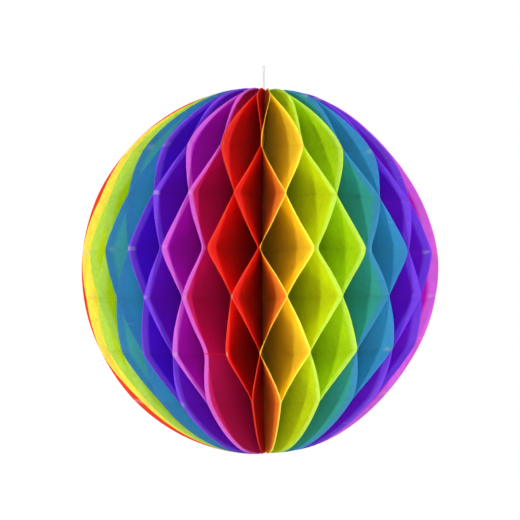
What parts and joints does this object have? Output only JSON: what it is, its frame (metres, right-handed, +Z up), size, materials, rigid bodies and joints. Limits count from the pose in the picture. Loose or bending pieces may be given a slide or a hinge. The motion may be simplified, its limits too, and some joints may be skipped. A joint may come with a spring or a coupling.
{
  "type": "honeycomb paper ball",
  "caption": "Hanging honeycomb paper ball: half-disc paper sheets in rainbow order, glued in staggered rows and fanned out round a vertical spine, with a thin thread loop at the top.",
  "frame": {"origin": "middle of the ball: half way up the spine, at the centre of its box", "axes": "+Z up along the spine towards the hanging thread, -Y towards the pictured side, +X to that side's right"},
  "size_m": [0.2887, 0.2885, 0.3187],
  "materials": {
    "paper_red": "matte",
    "paper_yellow": "matte",
    "paper_green": "matte",
    "paper_blue": "matte",
    "paper_violet": "matte",
    "paper_pink": "matte",
    "thread": "satin"
  },
  "bodies": {
    "root": {"sheet_01_red": "paper_red", "sheet_02_yellow": "paper_yellow", "sheet_03_yellow": "paper_yellow", "sheet_04_green": "paper_green", "sheet_05_green": "paper_green", "sheet_06_blue": "paper_blue", "sheet_07_blue": "paper_blue", "sheet_08_violet": "paper_violet", "sheet_09_violet": "paper_violet", "sheet_10_pink": "paper_pink", "sheet_11_pink": "paper_pink", "sheet_12_red": "paper_red", "sheet_13_red": "paper_red", "sheet_14_yellow": "paper_yellow", "sheet_15_yellow": "paper_yellow", "sheet_16_green": "paper_green", "sheet_17_green": "paper_green", "sheet_18_blue": "paper_blue", "sheet_19_blue": "paper_blue", "sheet_20_violet": "paper_violet", "sheet_21_violet": "paper_violet", "sheet_22_pink": "paper_pink", "sheet_23_pink": "paper_pink", "sheet_24_red": "paper_red", "sheet_25_red": "paper_red", "sheet_26_yellow": "paper_yellow", "sheet_27_yellow": "paper_yellow", "sheet_28_green": "paper_green", "sheet_29_green": "paper_green", "sheet_30_blue": "paper_blue", "sheet_31_blue": "paper_blue", "sheet_32_violet": "paper_violet", "sheet_33_violet": "paper_violet", "sheet_34_pink": "paper_pink", "sheet_35_pink": "paper_pink", "sheet_36_red": "paper_red", "sheet_37_red": "paper_red", "sheet_38_yellow": "paper_yellow", "sheet_39_yellow": "paper_yellow", "sheet_40_green": "paper_green", "sheet_41_green": "paper_green", "sheet_42_blue": "paper_blue", "sheet_43_blue": "paper_blue", "sheet_44_violet": "paper_violet", "sheet_45_violet": "paper_violet", "sheet_46_pink": "paper_pink", "sheet_47_pink": "paper_pink", "sheet_48_red": "paper_red", "hanging_thread": "thread"}
  },
  "joints": []
}
